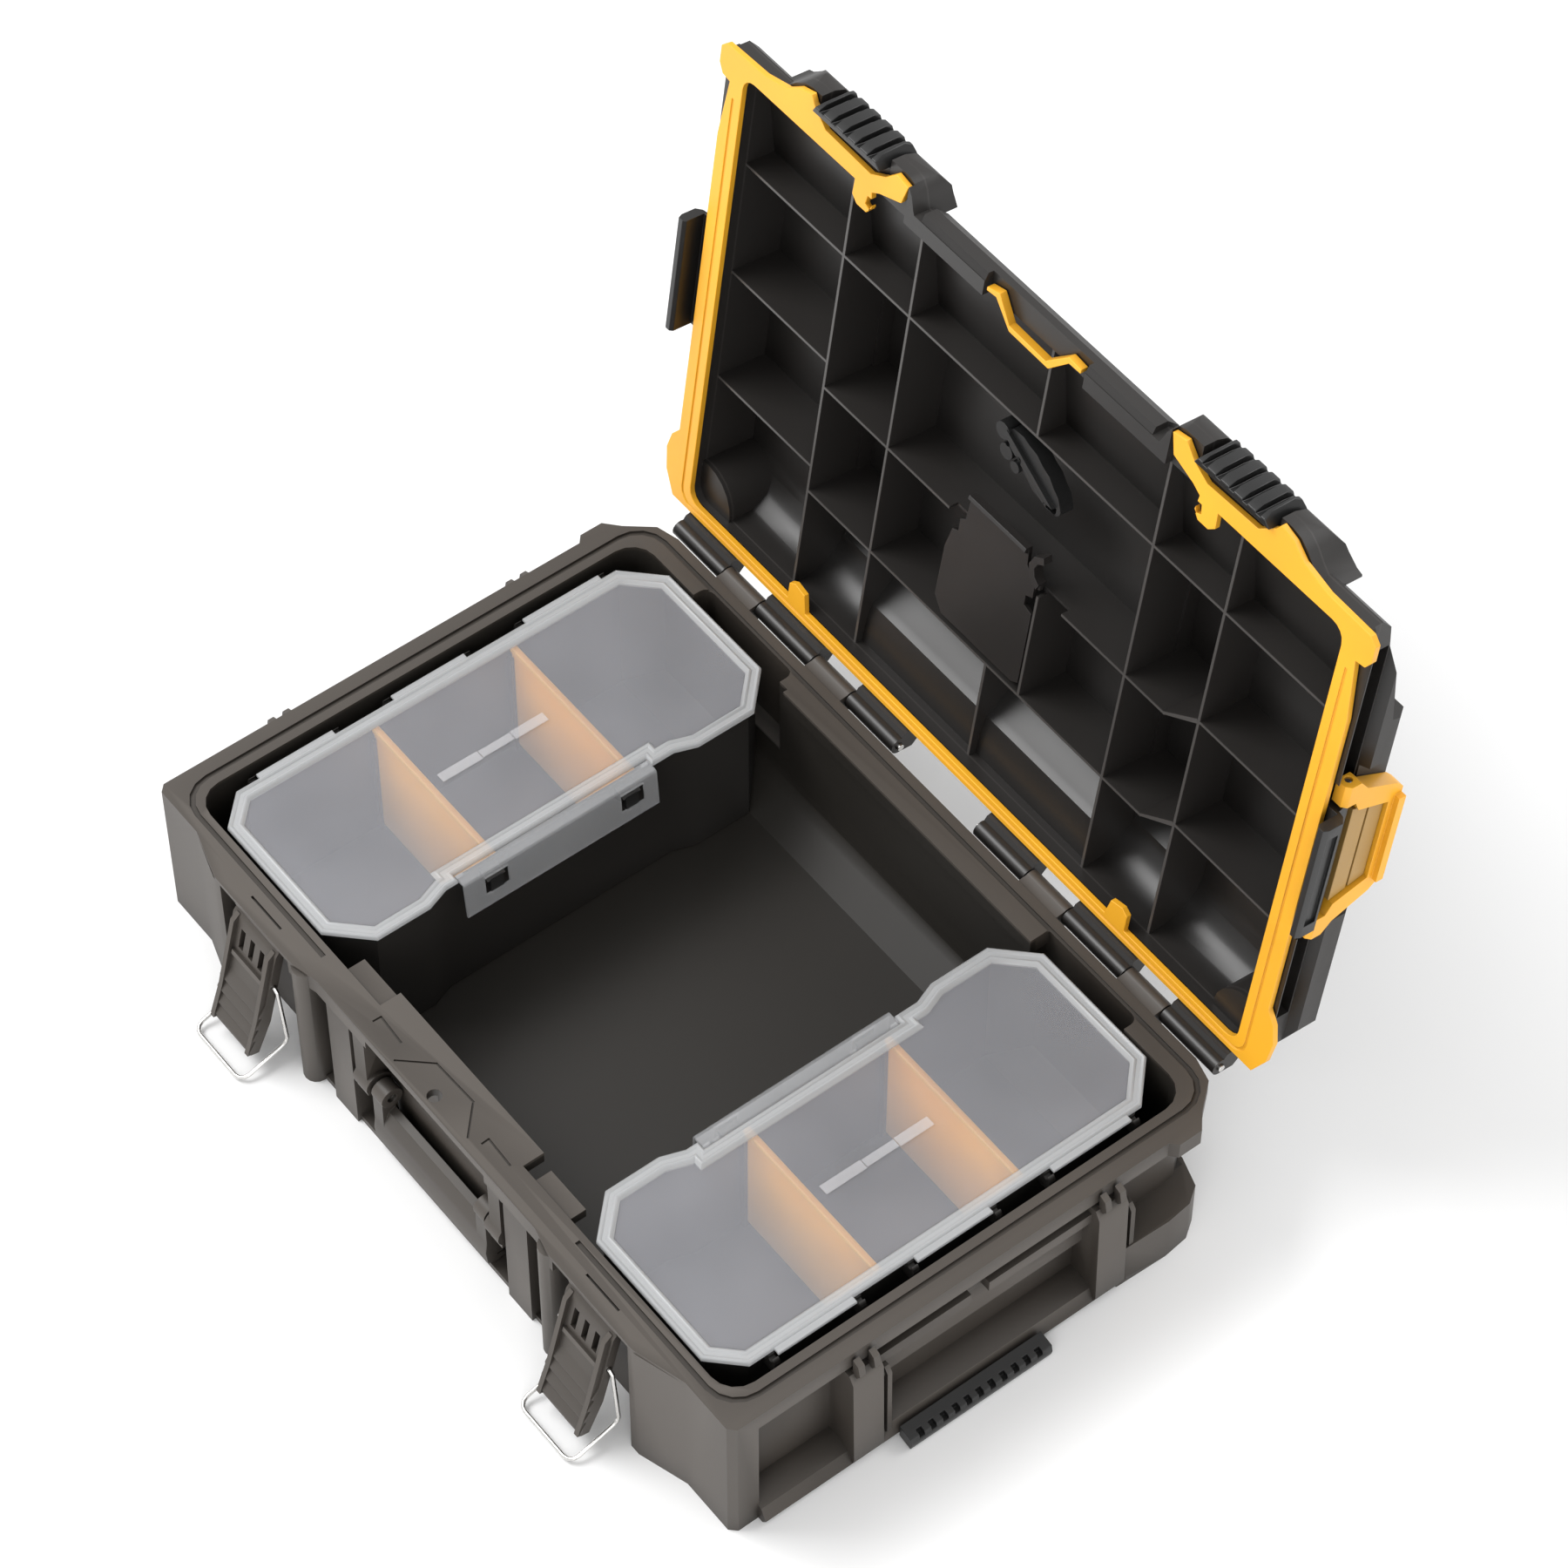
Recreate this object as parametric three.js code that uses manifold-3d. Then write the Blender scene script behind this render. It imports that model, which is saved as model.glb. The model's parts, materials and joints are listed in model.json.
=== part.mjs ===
// A small stackable tool box, shown open: a tub with two lift-out organisers, a hinged lid with
// a seal frame and stiffening ribs, two draw latches with wire bails, a folding front handle and
// two side latches that hold the next box of a stack.
//
// Millimetres, +X to the right, the front faces -Y, +Z up. The origin is under the tub's base.
import * as THREE from "three";
import { mergeVertices } from "three/addons/utils/BufferGeometryUtils.js";
import Module from "manifold-3d";

const wasm = await Module();
wasm.setup();

// ---------------------------------------------------------------- driving dimensions
const GAP = 0.3; // between pieces that touch

// the tub
const HALF_WIDTH = 260.5; // rim and corner posts
const FRONT_Y = -171; // face of the front corner posts
const BACK_Y = 164.5; // back of the rim
const RIM_Z = 101; // top of the rim
const RIM_DEPTH = 12; // height of the rim flange
const INNER_X = 243; // opening
const INNER_FRONT = -158.5;
const INNER_BACK = 146.5;
const FLOOR = 3;

// the front latches
const LATCH_X = 153;
const BAY_HALF = 32.5;
const LEVER_HINGE = { y: -175, z: 93.4 };
const LEVER_HALF = 20.5;
const LEVER_LENGTH = 84;
const LEVER_TILT = 13.4; // degrees that an open lever stands out from the tub
const BAIL_DROP = 31; // bail pivot below the lever's hinge
const BAIL_LEG = 50; // straight part of each leg
const BAIL_REACH = { forward: 33, down: 9 }; // the gooseneck that hooks over the lid's catch
const BAIL_HANG = -17; // degrees that the bail's legs hang in from the lever
const WIRE = 1.3; // radius

// the folding handle
const HANDLE_PIVOT = { y: -170.2, z: 50 };
const HANDLE_BOSS = 7; // radius
const HANDLE_HALF = 52;

// the hinge: lid and tub barrels take turns along each pin
const HINGE = { y: 173, z: 96.7 };
const BARREL = 5.4; // radius
const PIN = 2.2; // radius
const LID_OPEN = 97.6; // degrees
const LID_BARRELS = [
  [36, 78],
  [112, 161],
  [194, 238],
];
const TUB_BARRELS = [
  [79, 111],
  [162, 193],
];

// the lid, described closed
const LID_Z = RIM_Z + 1; // underside of the seal frame
const FRAME_THICK = 3.5;
const SHELL_Z = LID_Z + FRAME_THICK + GAP;
const DECK_Z = 148.5;
const BAR_TOP = 158.5; // raised stacking bars
const LID_INNER_X = 240.5;
const LID_INNER_FRONT = -161;
const LID_INNER_BACK = 154.5;
const RIB_Z = 112.6; // free edges of the ribs
const RIB = 1.7;
const CATCH_HALF = 28.8; // half the width of the block that the bail pulls on

// the organisers
const ORG_OUTER_X = 232.5;
const ORG_INNER_X = 103;
const ORG_FRONT = -155.5;
const ORG_BACK = 145;
const ORG_CORNER = 22;
const ORG_WAIST = 5;
const ORG_TOP = 99.4;
const ORG_LID = 3;

const SIDES = [
  ["left", -1],
  ["right", 1],
];

// ---------------------------------------------------------------- materials
const finish = (color, roughness, metalness = 0, extra = {}) =>
  new THREE.MeshStandardMaterial({ color, roughness, metalness, ...extra });
const shellPlastic = finish(0x39342f, 0.62);
const blackPlastic = finish(0x181715, 0.5);
const yellowPlastic = finish(0xf2a81c, 0.45);
const amberPlastic = finish(0xb98a45, 0.5);
const dividerPlastic = finish(0xf4b253, 0.5);
const frosted = finish(0xd5d6d8, 0.35, 0, { transparent: true, opacity: 0.55 });
const steel = finish(0xc9c9c7, 0.25, 1);

// ---------------------------------------------------------------- building helpers
// A closed geometry as a solid that can be joined and cut.
function solid(geometry) {
  const bare = geometry.index ? geometry.toNonIndexed() : geometry;
  bare.deleteAttribute("normal");
  bare.deleteAttribute("uv");
  const merged = mergeVertices(bare, 1e-4);
  return new wasm.Manifold(
    new wasm.Mesh({
      numProp: 3,
      vertProperties: new Float32Array(merged.attributes.position.array),
      triVerts: new Uint32Array(merged.index.array),
    }),
  );
}

function joined(...parts) {
  return parts.flat().reduce((a, b) => a.add(b));
}

function cut(body, ...parts) {
  return parts.flat().reduce((a, b) => a.subtract(b), body);
}

function block(x0, x1, y0, y1, z0, z1) {
  const g = new THREE.BoxGeometry(x1 - x0, y1 - y0, z1 - z0);
  g.translate((x0 + x1) / 2, (y0 + y1) / 2, (z0 + z1) / 2);
  return solid(g);
}

function shapeOf(points) {
  return new THREE.Shape(points.map(([a, b]) => new THREE.Vector2(a, b)));
}

function extruded(shape, depth, curveSegments = 2) {
  return new THREE.ExtrudeGeometry(shape, { depth, bevelEnabled: false, curveSegments });
}

// An outline in X and Y, raised from z0 to z1.
function slab(outline, z0, z1) {
  const shape = Array.isArray(outline) ? shapeOf(outline) : outline;
  return solid(extruded(shape, z1 - z0).translate(0, 0, z0));
}

// An outline in Y and Z, drawn out along X.
function alongX(outline, x0, x1) {
  const shape = Array.isArray(outline) ? shapeOf(outline) : outline;
  const g = extruded(shape, x1 - x0);
  const turn = new THREE.Matrix4().makeBasis(
    new THREE.Vector3(0, 1, 0),
    new THREE.Vector3(0, 0, 1),
    new THREE.Vector3(1, 0, 0),
  );
  return solid(g.applyMatrix4(turn).translate(x0, 0, 0));
}

// An outline in X and Z, drawn out along Y.
function alongY(outline, y0, y1) {
  const shape = Array.isArray(outline) ? shapeOf(outline) : outline;
  const g = extruded(shape, y1 - y0).rotateX(Math.PI / 2);
  return solid(g.translate(0, y1, 0));
}

function rodX(x0, x1, y, z, r, sides = 16) {
  const g = new THREE.CylinderGeometry(r, r, x1 - x0, sides).rotateZ(Math.PI / 2);
  return solid(g.translate((x0 + x1) / 2, y, z));
}

function rodY(y0, y1, x, z, r, sides = 12) {
  const g = new THREE.CylinderGeometry(r, r, y1 - y0, sides);
  return solid(g.translate(x, (y0 + y1) / 2, z));
}

function rodZ(z0, z1, x, y, r, sides = 16) {
  const g = new THREE.CylinderGeometry(r, r, z1 - z0, sides).rotateX(Math.PI / 2);
  return solid(g.translate(x, y, (z0 + z1) / 2));
}

function roundedRect(x0, x1, y0, y1, r) {
  const s = new THREE.Shape();
  s.absarc(x1 - r, y1 - r, r, 0, Math.PI / 2);
  s.absarc(x0 + r, y1 - r, r, Math.PI / 2, Math.PI);
  s.absarc(x0 + r, y0 + r, r, Math.PI, 1.5 * Math.PI);
  s.absarc(x1 - r, y0 + r, r, 1.5 * Math.PI, 2 * Math.PI);
  return s;
}

function mirrored(body) {
  return body.mirror([1, 0, 0]);
}

function bothSides(body) {
  return joined(body, mirrored(body));
}

const root = new THREE.Group();
const lidSwing = new THREE.Group();
const lidGroup = new THREE.Group();
lidSwing.position.set(0, HINGE.y, HINGE.z);
lidSwing.rotation.x = -THREE.MathUtils.degToRad(LID_OPEN);
lidGroup.position.set(0, -HINGE.y, -HINGE.z);
lidSwing.add(lidGroup);
root.add(lidSwing);

// Puts a finished solid in the scene as a named mesh.
function piece(name, body, material, parent = root) {
  const made = body.getMesh();
  const count = made.numVert;
  const positions = new Float32Array(count * 3);
  for (let i = 0; i < count; i++) {
    const at = i * made.numProp;
    positions.set(made.vertProperties.subarray(at, at + 3), i * 3);
  }
  const g = new THREE.BufferGeometry();
  g.setAttribute("position", new THREE.BufferAttribute(positions, 3));
  g.setIndex(new THREE.BufferAttribute(new Uint32Array(made.triVerts), 1));
  g.computeVertexNormals();
  const mesh = new THREE.Mesh(g, material);
  mesh.name = name;
  parent.add(mesh);
  return mesh;
}

// ---------------------------------------------------------------- the tub
// The right half of an outline, from the front middle round to the back, with its mirror image.
function symmetric(half) {
  const left = half
    .filter(([x]) => x > 0)
    .map(([x, y]) => [-x, y])
    .reverse();
  return [...half, ...left];
}

// The rim swells forwards round each latch bay and is chamfered at the back corners.
const rimOutline = symmetric([
  [0, -176.5],
  [100, -176.5],
  [116, -180.5],
  [190, -180.5],
  [222, FRONT_Y],
  [HALF_WIDTH - 4, FRONT_Y],
  [HALF_WIDTH, FRONT_Y + 4],
  [HALF_WIDTH, 118],
  [265, 122],
  [265, 137],
  [256, 145],
  [243, 160.5],
  [228, BACK_Y],
]);

// A shallow groove in the top of the rim from one point to another.
function engravedLine([x0, y0], [x1, y1]) {
  const length = Math.hypot(x1 - x0, y1 - y0);
  const g = new THREE.BoxGeometry(length + 0.8, 1.2, 2.4);
  g.rotateZ(Math.atan2(y1 - y0, x1 - x0)).translate((x0 + x1) / 2, (y0 + y1) / 2, RIM_Z + 0.2);
  return solid(g);
}

function tub() {
  const rim = slab(rimOutline, RIM_Z - RIM_DEPTH, RIM_Z);
  const wallOutline = roundedRect(-INNER_X - 4, INNER_X + 4, INNER_FRONT - 4, INNER_BACK + 4, 20);
  const wall = slab(wallOutline, 0, RIM_Z - 2);
  const backWall = block(-225, 225, INNER_BACK, BACK_Y - 4, 20, RIM_Z - 2);

  // front corner posts, with faces that flare out towards the bays
  const cornerPost = slab(
    [
      [185.5, -160],
      [185.5, -180.5],
      [192, -180.5],
      [222, FRONT_Y],
      [HALF_WIDTH - 4, FRONT_Y],
      [HALF_WIDTH, FRONT_Y + 4],
      [HALF_WIDTH, -153.5],
      [INNER_X, -153.5],
      [INNER_X, -160],
    ],
    0,
    RIM_Z - 2,
  );
  // a half-round post beside each bay, a flat post, and a thin post at the handle's pivot
  const roundPost = joined(
    rodZ(0, RIM_Z - 2, 112.2, -175, 7.6),
    block(104.6, 119.8, -175, -160, 0, RIM_Z - 2),
  );
  const flatPost = block(70.5, 91.5, -176.3, -160, 0, RIM_Z - 2);
  const thinPost = block(56.5, 67, -176.3, -160, 41, RIM_Z - 2);
  const pivotBoss = rodX(54, 67, HANDLE_PIVOT.y, HANDLE_PIVOT.z, 8.5);
  const bottomRail = block(-104, 104, -174, -158, 0, 4);

  // side wall: two bracket bars, a split rail, a sill and a skirt at the back
  const bar = (y) =>
    joined(
      alongY(
        [
          [INNER_X, 2],
          [266, 2],
          [268.5, 8],
          [266.5, 80],
          [263, 86],
          [INNER_X, 86],
        ],
        y,
        y + 20,
      ),
      [3, 13].map((at) =>
        alongY(
          [
            [258, 84],
            [265.4, 84],
            [268, 88],
            [266.5, 95.5],
            [262, 97.5],
            [262, 88],
          ],
          y + at,
          y + at + 4,
        ),
      ),
      alongY([[INNER_X, 6], [263, 6], [266, 11], [265, 66], [262, 70], [INNER_X, 70]], y + 24, y + 27),
      block(INNER_X, 262.5, y + 19, y + 26, 10, 14),
      block(INNER_X, 262.5, y + 19, y + 26, 62, 66),
    );
  const rails = joined(
    block(INNER_X, 260, -78, -14, 72, 80),
    block(INNER_X, 260, -2, 68, 72, 80),
    block(INNER_X, 254, -78, 68, 48, 76),
  );
  const sill = alongY(
    [
      [INNER_X, 0],
      [264, 0],
      [267, 4],
      [263, 12],
      [252, 16],
      [INNER_X, 16],
    ],
    -154,
    90,
  );
  const skirt = slab(
    [
      [INNER_X, 84],
      [266, 84],
      [267, 118],
      [265, 134],
      [258, 144],
      [240, 150],
      [INNER_X - 10, 150],
      [INNER_X - 10, 130],
      [INNER_X, 130],
    ],
    0,
    34,
  );
  const posts = joined(cornerPost, roundPost, flatPost, thinPost, pivotBoss);
  const side = joined(posts, bar(-97), bar(67), rails, sill, skirt);

  // back wall buttresses that carry the hinge barrels
  const barrelArm = ([x0, x1]) =>
    joined(
      rodX(x0, x1, HINGE.y, HINGE.z, BARREL),
      alongX(
        [
          [158, 74],
          [164, 82],
          [HINGE.y + BARREL - 0.8, HINGE.z - 3],
          [HINGE.y, HINGE.z + BARREL - 0.6],
          [158, RIM_Z - 1],
        ],
        x0,
        x1,
      ),
    );
  const barrels = TUB_BARRELS.map((span) => bothSides(barrelArm(span)));

  // the middle of the front rim reaches in over the opening, with a lower step each side
  const frontPlate = joined(
    block(-65, 65, -160, -145, RIM_Z - 8, RIM_Z),
    block(-96, -65.5, -160, -147, RIM_Z - 8, RIM_Z - 1.5),
    block(75.5, 106, -160, -148, RIM_Z - 8, RIM_Z - 1.5),
    block(-106, 106, -163, -158.5, RIM_Z - 8, RIM_Z - 1.5),
  );
  const backLip = block(-103, 115, INNER_BACK - 3, BACK_Y - 2, RIM_Z - 12, RIM_Z + 0.0);

  const outside = joined(rim, wall, backWall, bothSides(side), bottomRail, barrels);

  const opening = slab(roundedRect(-INNER_X, INNER_X, INNER_FRONT, INNER_BACK, 16), FLOOR, RIM_Z + 1);
  const bay = block(LATCH_X - BAY_HALF, LATCH_X + BAY_HALF, -190, -166, -1, RIM_Z - 2.8);
  const handleRecess = joined(
    block(-HANDLE_HALF - 2, HANDLE_HALF + 2, -190, -166, 4, RIM_Z - 6),
    block(-69, 69, -190, -166, 4, 40.5),
  );
  const backPocket = slab(roundedRect(110, 190, 130, 157, 6), 40, RIM_Z + 1);
  // a groove round the rim for the lid's seal
  const grooveLine = (out, corner) =>
    roundedRect(-INNER_X - out, INNER_X + out, INNER_FRONT + 1.5 - out, INNER_BACK + 3.5 + out, corner);
  const groove = cut(
    slab(grooveLine(8.5, 20), RIM_Z - 1.6, RIM_Z + 1),
    slab(grooveLine(5.5, 18), RIM_Z - 2, RIM_Z + 2),
    block(-110, 120, -180, -140, RIM_Z - 2, RIM_Z + 2),
  );
  const keyHole = rodZ(RIM_Z - 20, RIM_Z + 1, 0.5, -169.5, 4.3, 14);
  // lines engraved in the front of the rim, round the hole and beside it
  const engraved = [
    [[-31, -173], [-15.7, -156.5], [16.1, -155.4], [32.8, -171]],
    [[-58.7, -167.3], [-58.5, -162.4], [-38.4, -163.6]],
    [[40.5, -167.3], [40.3, -162.8], [60.5, -163.7]],
  ].flatMap((line) => line.slice(1).map((end, i) => engravedLine(line[i], end)));
  const latchSlit = block(LATCH_X - 14, LATCH_X + 14, -172.6, -171.2, RIM_Z - 2.2, RIM_Z + 1);
  const leverPinHole = rodX(LATCH_X - 40, LATCH_X + 40, LEVER_HINGE.y, LEVER_HINGE.z, PIN, 12);
  const handlePinHole = rodX(44, 72, HANDLE_PIVOT.y, HANDLE_PIVOT.z, 3, 12);
  const bevel = alongX(
    [
      [121.5, FLOOR - 0.5],
      [INNER_BACK + 2, FLOOR - 0.5],
      [INNER_BACK + 2, 34],
      [145, 21],
    ],
    -INNER_X - 1,
    INNER_X + 1,
  );
  const body = joined(cut(outside, opening, bothSides(backPocket)), frontPlate, backLip, bevel);
  return cut(
    body,
    bothSides(bay),
    handleRecess,
    groove,
    engraved,
    keyHole,
    bothSides(latchSlit),
    bothSides(leverPinHole),
    bothSides(handlePinHole),
    rodX(30, 240, HINGE.y, HINGE.z, PIN + 0.2, 12),
    rodX(-240, -30, HINGE.y, HINGE.z, PIN + 0.2, 12),
  );
}

piece("base_tub", tub(), shellPlastic);

// Comb-edged ledge under each side wall: the side latch of the box below hooks on it.
function sideCatch() {
  const ledge = alongY(
    [
      [267.4, 2],
      [277, 0],
      [278, 4],
      [277, 9],
      [267.4, 11],
    ],
    -66,
    30,
  );
  const notches = [];
  for (let y = -60; y < 26; y += 8) notches.push(block(273.5, 280, y, y + 3.4, 6, 14));
  return cut(ledge, notches);
}

for (const [name, side] of SIDES) {
  const body = sideCatch();
  piece("side_catch_" + name, side > 0 ? body : mirrored(body), blackPlastic);
  const pin = rodX(34, 239.5, HINGE.y, HINGE.z, PIN, 12);
  piece("hinge_pin_" + name, side > 0 ? pin : mirrored(pin), steel);
}

// ---------------------------------------------------------------- folding front handle
function handle() {
  const arm = joined(
    rodX(-HANDLE_HALF, -HANDLE_HALF + 10, HANDLE_PIVOT.y, HANDLE_PIVOT.z, HANDLE_BOSS),
    block(-HANDLE_HALF, -HANDLE_HALF + 9, -176.5, -166, 12, HANDLE_PIVOT.z),
  );
  // a broad, slightly curved grip, hollowed at the back for the fingers
  const grip = alongX(
    [
      [-165, 7],
      [-172, 5],
      [-176.5, 8],
      [-177.5, 18],
      [-176, 30],
      [-172.5, 38],
      [-168, 40],
      [-166.5, 36],
      [-171, 30],
      [-172.5, 18],
      [-170, 11],
      [-165, 10],
    ],
    -HANDLE_HALF,
    HANDLE_HALF,
  );
  const hole = rodX(-60, 60, HANDLE_PIVOT.y, HANDLE_PIVOT.z, 3, 12);
  return cut(joined(arm, mirrored(arm), grip), hole);
}

piece("front_handle", handle(), shellPlastic);
for (const [name, side] of SIDES) {
  const pin = rodX(43.5, 66, HANDLE_PIVOT.y, HANDLE_PIVOT.z, 2.6, 12);
  piece("handle_pin_" + name, side > 0 ? pin : mirrored(pin), steel);
}

// ---------------------------------------------------------------- front latches
// The lever is drawn hanging straight down from its hinge, centred on x = 0.
function lever() {
  const half = LEVER_HALF;
  const ridges = [];
  for (let n = 0; n < 4; n++) {
    const z = -46 - n * 9;
    ridges.push([-5.2 - n * 0.7, z], [-7.6 - n * 0.7, z - 7.6], [-7.4 - n * 0.7, z - 8.6]);
  }
  const plate = cut(
    alongX(
      [
        [-1.5, 0],
        [-4.5, -6],
        [-5, -44],
        ...ridges,
        [-8.6, -LEVER_LENGTH],
        [-3, -LEVER_LENGTH],
        [1, -60],
        [1, 0],
      ],
      -half,
      half,
    ),
    // the sides taper towards the bottom
    alongY([[half, -8], [half + 5, -8], [half + 5, -95], [half - 2.2, -95]], -20, 20),
    alongY([[-half, -8], [-half + 2.2, -95], [-half - 5, -95], [-half - 5, -8]], -20, 20),
  );
  const knuckle = rodX(-half, half, 0, 0, 4);
  const edges = [-1, 1].map((s) =>
    alongX(
      [
        [-4, -4],
        [-7.6, -9],
        [-8.4, -60],
        [-10.6, -LEVER_LENGTH],
        [-5, -LEVER_LENGTH],
        [-3, -40],
      ],
      s > 0 ? half - 5.4 : -half + 2.2,
      s > 0 ? half - 2.2 : -half + 5.4,
    ),
  );
  const slots = [-9, 0, 9].map((x) => block(x - 2, x + 2, -9, 8, -26, -12));
  const crossbar = block(-14, 14, -6.6, -4, -33, -29.6);
  const pinHole = rodX(-half - 1, half + 1, 0, 0, PIN + GAP, 12);
  const bailHole = rodX(-half - 3, half + 3, -1.9, -BAIL_DROP, WIRE + 0.35, 10);
  return cut(joined(plate, knuckle, edges, crossbar), slots, pinHole, bailHole);
}

// A wire of round section through points in space, mitred at each bend. One direction across the
// wire is carried from bend to bend so that the section doesn't twist.
function bentWire(points, radius, sides = 8) {
  const vertices = [];
  const faces = [];
  const last = points.length - 1;
  const across = new THREE.Vector3(0, 1, 0);
  points.forEach((p, i) => {
    const coming = p.clone().sub(points[Math.max(i - 1, 0)]).normalize();
    const going = points[Math.min(i + 1, last)].clone().sub(p).normalize();
    const along = coming.clone().add(going).normalize();
    const leg = i > 0 ? coming : going;
    across.addScaledVector(leg, -across.dot(leg)).normalize();
    const other = new THREE.Vector3().crossVectors(leg, across);
    for (let k = 0; k < sides; k++) {
      const a = (2 * Math.PI * k) / sides;
      const spoke = across.clone().multiplyScalar(radius * Math.cos(a));
      spoke.addScaledVector(other, radius * Math.sin(a));
      // slide the point along the leg until it lies in the mitre plane
      spoke.addScaledVector(leg, -spoke.dot(along) / leg.dot(along)).add(p);
      vertices.push(spoke.x, spoke.y, spoke.z);
    }
  });
  for (let i = 0; i < last; i++) {
    for (let k = 0; k < sides; k++) {
      const a = i * sides + k;
      const b = i * sides + ((k + 1) % sides);
      faces.push(a, b, a + sides, b, b + sides, a + sides);
    }
  }
  const end = last * sides;
  for (let k = 1; k < sides - 1; k++) {
    faces.push(0, k + 1, k);
    faces.push(end, end + k, end + k + 1);
  }
  const g = new THREE.BufferGeometry();
  g.setAttribute("position", new THREE.Float32BufferAttribute(vertices, 3));
  g.setAttribute("normal", new THREE.Float32BufferAttribute(vertices.map(() => 0), 3));
  g.setIndex(faces);
  return solid(g);
}

// The bail is drawn with its legs hanging straight down from its pivot. Its two ends turn in
// through the sides of the lever, and below the legs it reaches forwards in a gooseneck.
function bail() {
  const half = LEVER_HALF + 1.2 + WIRE;
  const bend = 6;
  const { forward, down } = BAIL_REACH;
  const reach = Math.hypot(forward, down);
  const points = [
    new THREE.Vector3(-LEVER_HALF + 9, 0, 0),
    new THREE.Vector3(-half + 2, 0, 0),
    new THREE.Vector3(-half, 0, -2),
    new THREE.Vector3(-half, 0, -BAIL_LEG + 4),
    new THREE.Vector3(-half, -1.4, -BAIL_LEG + 1),
    new THREE.Vector3(-half, -4.5, -BAIL_LEG - 0.8),
  ];
  for (let i = 0; i <= 3; i++) {
    const a = (i * Math.PI) / 6;
    const along = (reach - bend + bend * Math.sin(a)) / reach;
    const x = -half + bend - bend * Math.cos(a);
    points.push(new THREE.Vector3(x, -forward * along, -BAIL_LEG - down * along));
  }
  const other = points.map((p) => new THREE.Vector3(-p.x, p.y, p.z)).reverse();
  return bentWire([...points, ...other], WIRE);
}

for (const [name, side] of SIDES) {
  const leverGroup = new THREE.Group();
  leverGroup.position.set(side * LATCH_X, LEVER_HINGE.y, LEVER_HINGE.z);
  leverGroup.rotation.x = -THREE.MathUtils.degToRad(LEVER_TILT);
  root.add(leverGroup);
  piece("latch_lever_" + name, lever(), shellPlastic, leverGroup);

  const bailGroup = new THREE.Group();
  bailGroup.position.set(0, -1.9, -BAIL_DROP);
  bailGroup.rotation.x = -THREE.MathUtils.degToRad(BAIL_HANG);
  leverGroup.add(bailGroup);
  piece("latch_bail_" + name, bail(), steel, bailGroup);

  const pin = rodX(LATCH_X - 37, LATCH_X + 37, LEVER_HINGE.y, LEVER_HINGE.z, PIN - GAP, 12);
  piece("latch_pin_" + name, side > 0 ? pin : mirrored(pin), steel);
}

// ---------------------------------------------------------------- the lid
// Front outline of the seal frame's right half, from the corner to its inner end: a fan stands
// each side of the catch block.
const lidFrontEdge = [
  [224, -172.6],
  [205, -177.6],
  [196, -184.6],
  [186, -187.4],
  [183.4, -183.2],
  [172, -173.2],
  [134, -172],
  [122.4, -178.6],
  [115, -186],
  [105, -184],
  [108.5, -171],
  [125, -164.9],
  [132, -160.6],
];

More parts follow.
